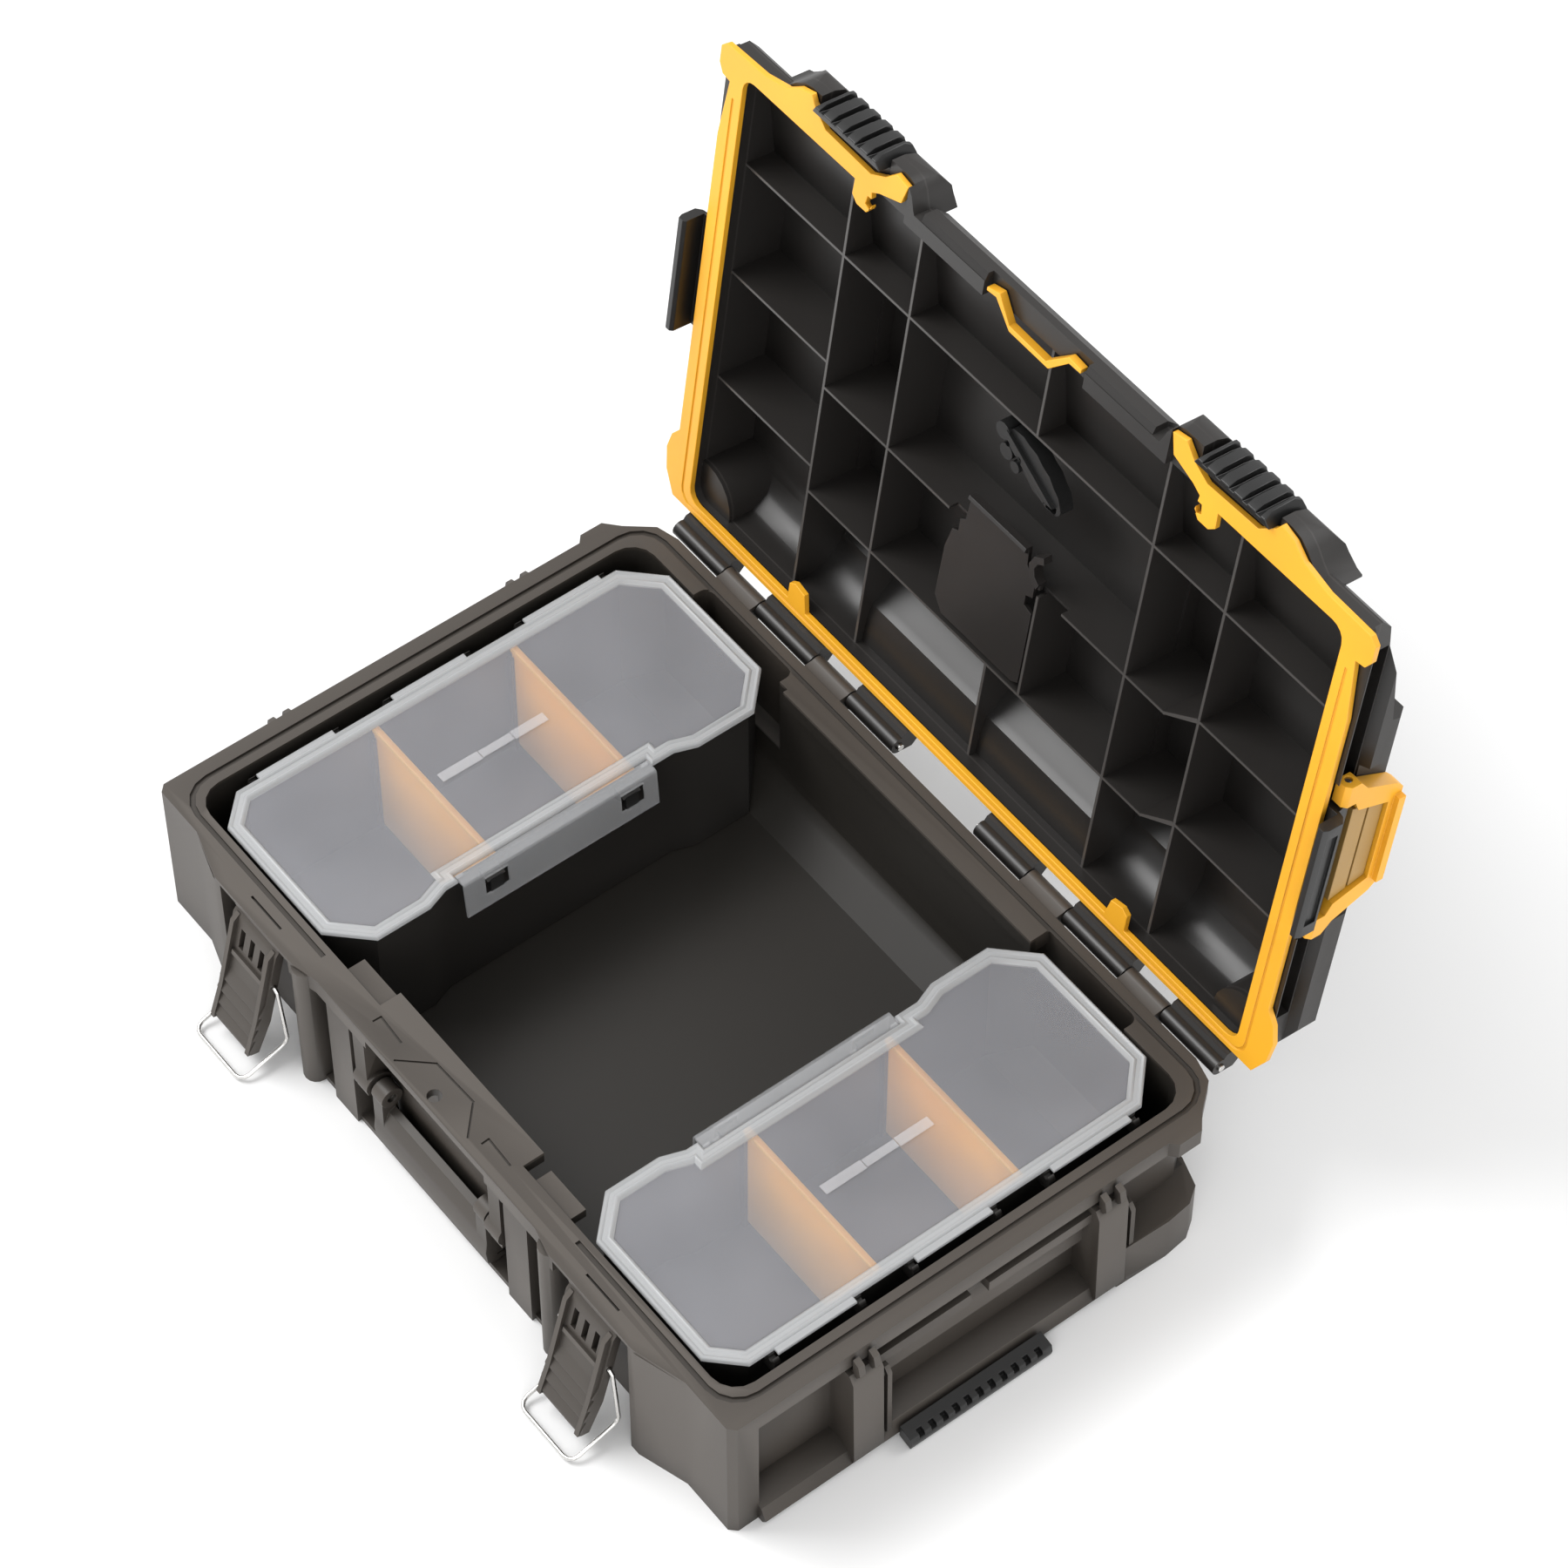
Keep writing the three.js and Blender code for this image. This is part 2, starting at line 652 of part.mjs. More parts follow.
function lidShell() {
  const profile = [
    [FRONT_Y, LID_Z],
    [FRONT_Y, 114],
    [-164, 121],
    [-95, 134.5],
    [-91, DECK_Z],
    [128, DECK_Z],
    [141, 146],
    [151, 140.5],
    [158.5, 132],
    [162.3, 122],
    [163, 112],
    [163, LID_Z],
  ];
  const across = [
    [-258, LID_Z],
    [258, LID_Z],
    [258, 106.5],
    [252, 108],
    [252, 124],
    [258, 127],
    [258, 140],
    [247, 155],
    [-247, 155],
    [-258, 140],
    [-258, 127],
    [-252, 124],
    [-252, 108],
    [-258, 106.5],
  ];
  const corners = slab(
    symmetric([
      [0, FRONT_Y - 1],
      [252, FRONT_Y - 1],
      [259, FRONT_Y + 7],
      [259, 140],
      [250, 158],
      [238, 164],
    ]),
    90,
    200,
  );
  const bars = bothSides(
    alongX([[-92, 140], [-88, BAR_TOP], [126, BAR_TOP], [140, 140]], 99, 156),
  );
  // a swelling at the front over each catch block, and the grip between them
  const housingPlan = [
    [95, -166],
    [99, -174],
    [101.5, -181],
    [105, -185.8],
    [110, -187.5],
    [190, -187.5],
    [197, -185.8],
    [203, -181.5],
    [209, -175],
    [216, -169],
    [224, -166],
  ];
  const housingSide = [
    [-188, LID_Z],
    [-188, 113],
    [-185, 122],
    [-178, 128.5],
    [-166, 130],
    [-140, 130],
    [-140, LID_Z],
  ];
  const housing = bothSides(slab(housingPlan, LID_Z, 130).intersect(alongX(housingSide, 90, 220)));
  const gripSide = [
    [-170, LID_Z],
    [-175.5, LID_Z + 2],
    [-175.5, 112],
    [-168, 121],
    [-160, 121],
    [-160, LID_Z],
  ];
  const grip = alongX(gripSide, -92, 92);
  const dome = alongX(profile, -258, 258).intersect(alongY(across, -200, 200)).intersect(corners);
  const outer = joined(dome, bars, housing, grip);

  const innerProfile = [
    [LID_INNER_FRONT, LID_Z - 1],
    [LID_INNER_FRONT, 118.5],
    [-94, 132],
    [-88.5, 146],
    [100, 146],
    [126, 146],
    [138, 143.4],
    [147, 136.5],
    [153, 126],
    [LID_INNER_BACK, 116],
    [LID_INNER_BACK, LID_Z - 1],
  ];
  const plan = slab(roundedRect(-LID_INNER_X, LID_INNER_X, LID_INNER_FRONT, LID_INNER_BACK, 10), 90, 160);
  const hollow = joined(
    alongX(innerProfile, -LID_INNER_X, LID_INNER_X),
    bothSides(alongX([[-89, 140], [-86, 155.5], [124, 155.5], [136, 140]], 102, 153)),
  ).intersect(plan);
  // between the inner columns the deck slopes down towards the hinge
  const slopeSide = [
    [98, 160],
    [101, 143.5],
    [108, 141.5],
    [111, 136],
    [124, 125],
    [127, 120.5],
    [136, 118.5],
    [158, 117],
    [158, 160],
  ];
  const slope = alongX(slopeSide, -99, 99).intersect(outer);

  // round swellings inside the back corners
  const swelling = bothSides(rodZ(LID_Z + 8, 150, 236, 152, 24, 20)).intersect(outer);

  const column = (x, y0, y1) => block(x - RIB / 2, x + RIB / 2, y0, y1, RIB_Z, 165);
  const row = (y, x0, x1) => block(x0, x1, y - RIB / 2, y + RIB / 2, RIB_Z, 165);
  const kink = (y0, y1) =>
    slab([[131, y0 + 1], [131, y0 - 1], [154, y1 - 1], [156.5, y1 + 1]], RIB_Z, 165);
  const ribs = joined(
    [-155.4, -99.5, 99.5, 155.4].map((x) => column(x, -165, 160)),
    column(6.5, -165, -93),
    column(29, 2, 82.5),
    column(1.5, 82, 160),
    row(-93.5, -243, 243),
    row(2.8, -156, 132),
    row(82, -156, 132),
    row(-15.5, -243, -155),
    row(-12.5, 155, 243),
    row(63.5, -243, -155),
    row(67, 155, 243),
    kink(2.8, -12.5),
    kink(82, 67),
  ).intersect(outer);
  const panelRoom = joined(
    block(-46, 27.5, -21.5, 78, LID_Z, 118.5),
    block(16, 48, -28, 6, LID_Z, 118.5),
  );

  // under the seal frame the shell stops short; along the front middle it comes down to the rim
  const frameRoom = joined(
    block(-300, 300, -140, 200, LID_Z - 1, SHELL_Z),
    bothSides(block(104.5, 300, -200, -140, LID_Z - 1, SHELL_Z)),
  );
  const catchSpan = CATCH_HALF + 0.4;
  const catchRoom = block(LATCH_X - catchSpan, LATCH_X + catchSpan, -200, -173, LID_Z - 1, 125.4);
  const gripRoom = block(-40, 40, -180, -149, LID_Z - 1, LID_Z + 5.4);
  const sideLatchRoom = block(252.9, 262, -63, 55, SHELL_Z - 4, 153);
    const sideSlot = block(244.5, 260, -150, 130, 109, 123);

  const barrelArm = ([x0, x1]) =>
    joined(
      rodX(x0, x1, HINGE.y, HINGE.z, BARREL),
      alongX(
        [
          [160, SHELL_Z + 0.2],
          [163.5, SHELL_Z + 0.2],
          [165.2, 100],
          [HINGE.y - 2, HINGE.z],
          [HINGE.y + BARREL - 0.3, HINGE.z],
          [HINGE.y + 5, HINGE.z + 10],
          [163.5, 118],
          [160, 118],
        ],
        x0,
        x1,
      ),
    );
  const barrels = LID_BARRELS.map((span) => bothSides(barrelArm(span)));
  const body = joined(cut(outer, hollow), slope, swelling, cut(ribs, panelRoom));
  const latchRooms = bothSides(joined(catchRoom, sideLatchRoom, sideSlot));
  return cut(
    joined(cut(body, frameRoom, gripRoom, latchRooms), barrels),
    bothSides(rodX(30, 240, HINGE.y, HINGE.z, PIN + GAP, 12)),
  );
}

piece("lid_shell", lidShell(), shellPlastic, lidGroup);

// The yellow seal frame runs round three sides of the lid and part of the front, with ears at the
// corners, a fan each side of both catch blocks and hooks that locate on the tub.
function sealFrame() {
  const outline = [
    ...lidFrontEdge.slice().reverse(),
    [256, -171.3],
    [HALF_WIDTH, -167],
    [HALF_WIDTH, -156],
    [257, -150],
    [250.5, -149],
    [255, -110],
    [255, 112],
    [261, 120],
    [264, 132],
    [262, 148],
    [254, 163],
    [0, 163],
  ];
  const inner = slab(roundedRect(-239.5, 239.5, -160.5, 154.5, 9), LID_Z - 2, SHELL_Z + 2);
  const half = slab([...outline, [0, 120], [100, 120]], LID_Z, LID_Z + FRAME_THICK);
  const ring = cut(bothSides(half), inner);
  const hookOutline = [
    [131, -162],
    [145, -162],
    [145.5, -150],
    [141, -146],
    [133, -146],
    [129.5, -151],
  ];
  const hook = slab(hookOutline, LID_Z, LID_Z + FRAME_THICK);
  const mouthOutline = [
    [128.5, -157],
    [133.5, -157],
    [134.5, -151],
    [131, -149.5],
  ];
  const hookMouth = slab(mouthOutline, LID_Z - 1, LID_Z + 5);
  const tabOutline = [
    [131, 156],
    [147.5, 156],
    [147.5, 143],
    [143, 140],
    [134, 142],
  ];
  const backTab = slab(tabOutline, LID_Z, LID_Z + FRAME_THICK);
  // a shallow groove along the sides and the back
  const groove = cut(
    slab(roundedRect(-247, 247, -300, 159.6, 10), LID_Z - 1, LID_Z + 0.9),
    slab(roundedRect(-245.4, 245.4, -301, 158, 9), LID_Z - 2, LID_Z + 2),
    block(-300, 300, -310, -140, LID_Z - 3, LID_Z + 3),
  );
  return joined(cut(ring, groove), bothSides(cut(hook, hookMouth)), bothSides(backTab));
}

piece("lid_seal_frame", sealFrame(), yellowPlastic, lidGroup);

// The yellow arch in the grip at the middle of the front edge.
function gripTrim() {
  return slab(
    [
      [-37.5, -169],
      [-28, -171.5],
      [-17.5, -157.5],
      [11.5, -156.5],
      [27, -171.5],
      [37, -170.5],
      [37, -168],
      [28, -167.8],
      [14.5, -153.3],
      [-17, -154],
      [-30, -167.4],
      [-37.5, -166.5],
    ],
    LID_Z,
    LID_Z + 5,
  );
}

piece("lid_grip_trim", gripTrim(), yellowPlastic, lidGroup);

// Black ribbed block in each housing: the wire bail pulls on the lip along its top.
function catchBlock() {
  const body = alongX(
    [
      [-173.3, SHELL_Z + 0.5],
      [-181.4, SHELL_Z + 0.5],
      [-181.4, 99],
      [-186.4, 98],
      [-188.6, 103],
      [-189, 119],
      [-187, 123.5],
      [-183, 125],
      [-173.3, 125],
    ],
    LATCH_X - CATCH_HALF,
    LATCH_X + CATCH_HALF,
  );
  const grooves = [-2, -1, 0, 1, 2].map((n) => {
    const x = LATCH_X + n * 10;
    return alongX(
      [[-192, 95], [-185.6, 95], [-184.6, 104], [-184.8, 117], [-183.4, 127], [-192, 127]],
      x - 1.7,
      x + 1.7,
    );
  });
  const corners = [-1, 1].map((side) => {
    const x = LATCH_X + side * CATCH_HALF;
    const inward = -side * 7;
    const wedge = [[x + side, -179], [x + side, -192], [x + inward, -192]];
    return slab(side > 0 ? wedge.reverse() : wedge, 90, 130);
  });
  return cut(body, grooves, corners);
}

// The side latch is a U-shaped frame pivoted low on the lid's side wall, each side of a black
// mount block. It folds up against the wall and swings out to hook the box above. Drawn on the
// right side.
const SIDE_PIVOT = { x: 256.5, z: 114 };
const SIDE_MOUNT = [-45, 37];
function sideLatch() {
  const outline = shapeOf([
    [-62, 109],
    [-47, 109],
    [-47, 117.5],
    [-40, 121],
    [-33, 143.5],
    [25, 143.5],
    [32, 121],
    [39, 117.5],
    [39, 109],
    [54, 109],
    [54, 118],
    [47, 124],
    [37, 147],
    [32, 152],
    [-40, 152],
    [-45, 147],
    [-55, 124],
    [-62, 118],
  ]);
  const frame = alongX(outline, 253.2, 262.5);
  const chamfer = alongY([[258.8, 108], [264, 108], [264, 113]], -70, 60);
  const lip = alongX([[-36, 147], [28, 147], [28, 152], [-36, 152]], 262, 266);
  const pinHole = rodY(-80, 70, SIDE_PIVOT.x, SIDE_PIVOT.z, 2 + GAP, 10);
  return cut(joined(frame, lip), chamfer, pinHole);
}

// Plate in the window of the side latch, with a step along its middle.
function sideInsert() {
  const plate = alongX([[-39, 119.8], [31, 119.8], [24.4, 143.1], [-32.4, 143.1]], 255.5, 260);
  const step = block(258.6, 264, -50, 45, 131, 132.4);
  return cut(plate, step);
}

// Black block that the side latch pivots on, with a knuckle round the pin that leaves the latch
// free to swing out. It reaches down outside the tub's rim.
function sideMount() {
  const section = [
    [253.2, SHELL_Z + 0.4],
    [261.4, SHELL_Z + 0.4],
    [261.4, 94],
    [263, 92],
    [266.4, 92],
    [267.8, 95],
    [267.8, 104.5],
    [264.5, 107.6],
    [260.6, 108.4],
    [259.9, 111.5],
    [260.3, 114],
    [259.2, 116.7],
    [256.5, 117.8],
    [253.2, 117.8],
  ];
  const [y0, y1] = SIDE_MOUNT;
  const recess = block(266.2, 270, y0 + 8, y1 - 8, 95.5, 103);
  const pinHole = rodY(y0 - 1, y1 + 1, SIDE_PIVOT.x, SIDE_PIVOT.z, 2 + GAP, 10);
  return cut(alongY(section, y0, y1), recess, pinHole);
}

for (const [name, side] of SIDES) {
  const turn = (body) => (side > 0 ? body : mirrored(body));
  piece("lid_catch_" + name, turn(catchBlock()), blackPlastic, lidGroup);
  piece("side_latch_" + name, turn(sideLatch()), yellowPlastic, lidGroup);
  piece("side_latch_insert_" + name, turn(sideInsert()), amberPlastic, lidGroup);
  piece("side_latch_mount_" + name, turn(sideMount()), blackPlastic, lidGroup);
  const pin = rodY(-61, 53, SIDE_PIVOT.x, SIDE_PIVOT.z, 2, 10);
  piece("side_latch_pin_" + name, turn(pin), steel, lidGroup);
}

// A flat panel with a raised lip and a curved hook closes a pocket in the middle of the lid.
function lidPanel() {
  const outline = [
    [-31, -20.5],
    [16.5, -20.5],
    [17.5, -8],
    [25.5, -2],
    [25.5, 10],
    [20.5, 12],
    [20.5, 19],
    [27, 21],
    [27, 74],
    [22, 77],
    [-38, 77],
    [-45.3, 68],
    [-44.5, 30],
    [-41, 14],
    [-36.5, 12],
    [-36.5, 3],
    [-32.5, 0],
  ];
  const plate = slab(outline, RIB_Z, RIB_Z + 2.4);
  const lip = alongX(
    [
      [-20.5, RIB_Z + 1],
      [-20.5, RIB_Z - 2.2],
      [-18.4, RIB_Z - 3],
      [-15.6, RIB_Z],
      [-15.6, RIB_Z + 1],
    ],
    -31,
    16.5,
  );
  const arc = new THREE.Shape();
  arc.absarc(33, -12, 13, Math.PI * 0.62, Math.PI * 1.42);
  arc.absarc(33, -12, 8.5, Math.PI * 1.42, Math.PI * 0.62, true);
  const hook = joined(slab(arc, RIB_Z - 2, RIB_Z + 4), block(22, 29.5, -3.5, 1, RIB_Z, RIB_Z + 2.4));
  const legs = [
    [-36, 30],
    [20, 30],
    [-36, 66],
    [20, 66],
  ].map(([x, y]) => rodZ(RIB_Z + 2, 118, x, y, 3, 8));
  return joined(plate, lip, hook, legs);
}

piece("lid_panel", lidPanel(), shellPlastic, lidGroup);

// A moulded clip in front of the panel: a long oval body with two lobes, a spine and a notch.
function lidClip() {
  const oval = [];
  for (let i = 0; i < 24; i++) {
    const a = (i * Math.PI) / 12;
    const x = 26 * Math.cos(a);
    const y = (i % 2 ? 10.6 : 9.6) * Math.sin(a);
    oval.push([9 + x * 0.87 - y * 0.49, -69 + x * 0.49 + y * 0.87]);
  }
  const body = slab(oval, RIB_Z + 1, RIB_Z + 10);
  const lobes = [
    [-17, -79, 5.5],
    [-12, -68, 5],
    [-4, -63, 3.6],
  ].map(([x, y, r]) => rodZ(RIB_Z - 1, RIB_Z + 9, x, y, r, 12));
  const spine = slab([[-14, -82], [28, -59], [26, -55], [-16, -77]], RIB_Z - 1.4, RIB_Z + 4);
  const holes = [
    [-12, -74, 2.1],
    [-2, -70, 2.4],
  ].map(([x, y, r]) => rodZ(RIB_Z - 3, RIB_Z + 12, x, y, r, 10));
  const notch = block(21, 29, -59, -54, RIB_Z - 3, RIB_Z + 6);
  return cut(joined(body, lobes, spine), holes, notch);
}

piece("lid_clip", lidClip(), blackPlastic, lidGroup);

// ---------------------------------------------------------------- organisers
// Plan outline of the right organiser, shrunk by an inset: chamfered corners, and a waist along
// the inner long side.
function organiserOutline(inset) {
  const x0 = ORG_INNER_X + inset;
  const x1 = ORG_OUTER_X - inset;
  const y0 = ORG_FRONT + inset;
  const y1 = ORG_BACK - inset;
  const c = ORG_CORNER - inset * 0.586;
  const waist = x0 + ORG_WAIST;
  return [
    [x0 + c, y0],
    [x1 - c * 0.8, y0],
    [x1, y0 + c * 0.8],
    [x1, y1 - c],
    [x1 - c, y1],
    [x0 + c, y1],
    [x0, y1 - c],
    [x0, 84],
    [waist, 70],
    [waist, -84],
    [x0, -98],
    [x0, y0 + c],
  ];
}

const HINGE_STRIPS = [
  [-122, -71],
  [-31, 19],
  [60, 113],
];
const ORG_HINGE = { x: ORG_OUTER_X + 2.6, z: 96.4 };
const DIVIDER_Y = [-49, 46];
const FLAP_WINDOWS = [-54.5, 38];
const FLAP = { x: ORG_INNER_X + ORG_WAIST + 3.4, z: 97.7, y0: -76, y1: 55 };

function organiserBody() {
  // the back of the floor slopes up over the bevel of the tub
  const sloped = (gap) =>
    alongX([[118.3 - 1.62 * gap, 0], [150, 0], [150, 40], [145 - 1.62 * gap, 21]], 90, 240);
  const outer = cut(slab(organiserOutline(3.5), 4, ORG_TOP - ORG_LID - GAP), sloped(0.8));
  const inner = cut(slab(organiserOutline(5.5), 6, 120), sloped(3.4));
  const rails = DIVIDER_Y.flatMap((y) =>
    [
      [ORG_INNER_X + ORG_WAIST + 4, ORG_INNER_X + ORG_WAIST + 9],
      [ORG_OUTER_X - 9, ORG_OUTER_X - 4],
    ].map(([x0, x1]) =>
      cut(block(x0, x1, y - 4, y + 4, 5, 88), block(x0 - 1, x1 + 1, y - 1.7, y + 1.7, 8, 96)),
    ),
  );
  const lugs = HINGE_STRIPS.flat().map((y, i) => {
    const y0 = i % 2 ? y + 0.6 : y - 4.6;
    return cut(
      joined(
        block(ORG_OUTER_X - 5, ORG_HINGE.x + 2, y0, y0 + 4, 86, 92.4),
        rodY(y0, y0 + 4, ORG_HINGE.x, 94.6, 3.4, 10),
        block(ORG_HINGE.x - 3.4, ORG_HINGE.x + 3.4, y0, y0 + 4, 86, 94.6),
      ),
      rodY(y0 - 1, y0 + 5, ORG_HINGE.x, ORG_HINGE.z, 1.9, 10),
    );
  });
  const hooks = FLAP_WINDOWS.map((y) =>
    alongY(
      [
        [FLAP.x + 1.5, 82],
        [FLAP.x - 5.5, 86],
        [FLAP.x - 8.2, 90],
        [FLAP.x + 1.5, 93],
      ],
      y - 6,
      y + 6,
    ),
  );
  const flapRoom = block(FLAP.x - 9, FLAP.x + 2.2, FLAP.y0 - 0.5, FLAP.y1 + 0.5, 95.6, 100);
  return cut(joined(cut(outer, inner), rails, lugs, hooks), flapRoom);
}

function organiserLid() {
  const top = ORG_TOP;
  const plate = slab(organiserOutline(0), top - ORG_LID, top);
  const border = cut(
    slab(organiserOutline(2), top - 1, top + 1.2),
    slab(organiserOutline(9), top - 2, top + 3),
  );
  const well = slab(organiserOutline(11), top - 1.2, top + 2);
  const pins = HINGE_STRIPS.map(([y0, y1]) =>
    joined(
      rodY(y0 - 5, y1 + 5, ORG_HINGE.x, ORG_HINGE.z, 1.5, 10),
      block(ORG_OUTER_X - 2, ORG_HINGE.x + 1.3, y0 + 1, y1 - 1, 96.4, 98.2),
    ),
  );
  const bar = block(168, 176, -43, 29, top - 1.4, top + 0.6);
  const flapRoom = block(FLAP.x - 9, FLAP.x + 1.9, FLAP.y0 - 0.5, FLAP.y1 + 0.5, 80, top + 3);
  const lugRoom = HINGE_STRIPS.flat().map((y, i) => {
    const y0 = i % 2 ? y + 0.2 : y - 5;
    return block(ORG_OUTER_X - 2.2, ORG_OUTER_X + 6, y0, y0 + 4.8, 90, top - 0.2);
  });
  const flapPins = [
    [FLAP.y0 - 4, FLAP.y0 + 4],
    [FLAP.y1 - 4, FLAP.y1 + 4],
  ].map(([y0, y1]) => rodY(y0, y1, FLAP.x, FLAP.z, 0.75, 8));
  return joined(cut(joined(cut(joined(plate, border), well), bar), flapRoom, lugRoom), pins, flapPins);
}

// A clear flap that folds over the lid's edge and clips on two hooks of the body.
function latchFlap() {
  const { x, z, y0, y1 } = FLAP;
  const section = alongY(
    [
      [x + 1.4, z - 0.6],
      [x + 1.4, z + 0.6],
      [x + 0.6, z + 1.4],
      [x - 7.2, z + 1.4],
      [x - 8.4, z + 0.2],
      [x - 10.4, z - 25.6],
      [x - 8.8, z - 25.6],
      [x - 6.8, z - 0.2],
      [x - 0.6, z - 1.4],
      [x + 0.6, z - 1.4],
    ],
    y0,
    y1,
  );
  const windows = FLAP_WINDOWS.map((y) => block(x - 14, x - 5.2, y - 8, y + 8, z - 17, z - 3));
  const pinHoles = rodY(y0 - 1, y0 + 4.6, x, z, 1.1, 8).add(rodY(y1 - 4.6, y1 + 1, x, z, 1.1, 8));
  return cut(section, windows, pinHoles);
}

function divider(y) {
  return block(ORG_INNER_X + ORG_WAIST + 6.2, ORG_OUTER_X - 6.2, y - 1.2, y + 1.2, 8.6, 95.4);
}

for (const [name, side] of SIDES) {
  const turn = (body) => (side > 0 ? body : mirrored(body));
  piece("organiser_body_" + name, turn(organiserBody()), blackPlastic);
  piece("organiser_lid_" + name, turn(organiserLid()), frosted);
  piece("organiser_latch_" + name, turn(latchFlap()), frosted);
  DIVIDER_Y.forEach((y, i) => {
    piece("divider_" + name + "_" + ["front", "back"][i], turn(divider(y)), dividerPlastic);
  });
}

export default root;
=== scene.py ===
"""Looks for the stackable tool box: camera, light, materials, and the fine pieces on the CAD frame.

Lengths are in metres.
"""

import json
import math

import bmesh
import bpy
from mathutils import Matrix, Vector


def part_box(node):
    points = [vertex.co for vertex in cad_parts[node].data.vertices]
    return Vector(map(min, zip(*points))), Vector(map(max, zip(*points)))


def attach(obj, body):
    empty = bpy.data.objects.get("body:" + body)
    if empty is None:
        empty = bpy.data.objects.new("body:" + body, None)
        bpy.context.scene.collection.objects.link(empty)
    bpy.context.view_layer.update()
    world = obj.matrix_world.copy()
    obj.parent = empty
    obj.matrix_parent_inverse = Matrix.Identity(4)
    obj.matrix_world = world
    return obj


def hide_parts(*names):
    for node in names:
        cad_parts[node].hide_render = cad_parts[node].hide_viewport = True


scene = bpy.context.scene
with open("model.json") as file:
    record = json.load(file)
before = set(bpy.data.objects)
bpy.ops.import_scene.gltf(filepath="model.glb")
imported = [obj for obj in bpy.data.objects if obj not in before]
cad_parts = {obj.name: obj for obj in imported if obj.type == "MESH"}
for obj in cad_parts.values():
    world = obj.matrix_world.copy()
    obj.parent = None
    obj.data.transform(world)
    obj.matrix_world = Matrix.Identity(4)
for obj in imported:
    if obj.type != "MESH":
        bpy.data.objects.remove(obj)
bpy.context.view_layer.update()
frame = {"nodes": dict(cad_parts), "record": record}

# ---------------------------------------------------------------- places the materials need
# The open lid leans back; LID_UP is the direction that was up when it was closed, and RIB_LEVEL
# is how far along it the ribs' free edges lie.
LEAN = math.radians(97.6)
LID_UP = Vector((0, math.sin(LEAN), math.cos(LEAN)))
HINGE = Vector((0, 0.173, 0.0967))
RIB_LEVEL = LID_UP.dot(HINGE) + 0.0159
# The lid material paints a highlight on the layer at the ribs' free edges.
RIB_EDGE = 0.0005  # half the depth of the layer that counts as a rib's free edge

# The hollow of the tub, where its material paints shade: middle and half size on each axis.
TUB_HOLLOW = (("X", 0.0, 0.2434), ("Y", -0.006, 0.1532), ("Z", 0.0508, 0.0480))

DIVIDER_FLOOR = 0.0086
DIVIDER_TOP = 0.0954
# The dividers get painted shade that darkens them from near the top down to the floor, and a weak
# painted glow that stands in for light coming through the plastic.
DIVIDER_UNSHADED = 0.004  # how far down from its top a divider keeps its full colour
DIVIDER_PAINTED_GLOW = 0.3  # weak emission, for the light that comes through the plastic

# ---------------------------------------------------------------- material settings
GRAIN_SCALE = 2600.0
GRAIN_DEPTH = 0.0002
CLOUD_SCALE = 9.0
CLOUD_TONES = ((0.3, 0.88), (0.72, 1.1))  # place in the noise, share of the colour
# Pointiness range over which sharp edges are paled: a painted highlight.
EDGE_HIGHLIGHT_POINTINESS = (0.515, 0.6)
# Painted shade in crevices: how far the occlusion looks, and the occlusion range mapped onto the
# darkening.
CREVICE_SHADE_REACH = 0.03
CREVICE_SHADE_RANGE = (0.15, 0.85)
RIPPLE_DEPTH = 0.0003
HAZE_SCALE = 14.0
HAZE_SPREAD = 0.05
PLASTIC_IOR = 1.49


# ---------------------------------------------------------------- node helpers
def principled(name):
    """A new material, its node tree and its shader."""
    material = bpy.data.materials.new(name)
    material.use_nodes = True
    return material, material.node_tree, material.node_tree.nodes["Principled BSDF"]


def noise(tree, scale, detail=2.0):
    """Noise in the object's own space."""
    coords = tree.nodes.new("ShaderNodeTexCoord")
    texture = tree.nodes.new("ShaderNodeTexNoise")
    texture.inputs["Scale"].default_value = scale
    texture.inputs["Detail"].default_value = detail
    tree.links.new(coords.outputs["Object"], texture.inputs["Vector"])
    return texture.outputs["Fac"]


def remap(tree, value, source=(0.0, 1.0), target=(0.0, 1.0)):
    """A value stretched from one range to another, and held at its ends."""
    node = tree.nodes.new("ShaderNodeMapRange")
    node.inputs["From Min"].default_value, node.inputs["From Max"].default_value = source
    node.inputs["To Min"].default_value, node.inputs["To Max"].default_value = target
    tree.links.new(value, node.inputs["Value"])
    return node.outputs["Result"]


def mix_in(tree, amount, under, over):
    """The socket under, with the plain colour over mixed in by the socket amount."""
    mix = tree.nodes.new("ShaderNodeMixRGB")
    mix.inputs["Color2"].default_value = (*over, 1)
    tree.links.new(amount, mix.inputs["Fac"])
    tree.links.new(under, mix.inputs["Color1"])
    return mix.outputs["Color"]


def near(tree, value, middle, half):
    """1 where a value lies within half of the middle, and 0 elsewhere."""
    node = tree.nodes.new("ShaderNodeMath")
    node.operation = "COMPARE"
    node.inputs[1].default_value = middle
    node.inputs[2].default_value = half
    tree.links.new(value, node.inputs[0])
    return node.outputs["Value"]


def along(tree, vector, direction):
    """How far a vector reaches along a fixed direction."""
    node = tree.nodes.new("ShaderNodeVectorMath")
    node.operation = "DOT_PRODUCT"
    node.inputs[1].default_value = direction
    tree.links.new(vector, node.inputs[0])
    return node.outputs["Value"]


def relief(tree, shader, height, strength, depth):
    """Fine surface relief from a height socket."""
    bump = tree.nodes.new("ShaderNodeBump")
    bump.inputs["Strength"].default_value = strength
    bump.inputs["Distance"].default_value = depth
    tree.links.new(height, bump.inputs["Height"])
    tree.links.new(bump.outputs["Normal"], shader.inputs["Normal"])


def feeding(shader, name):
    """The socket that already feeds one of the shader's inputs."""
    return shader.inputs[name].links[0].from_socket


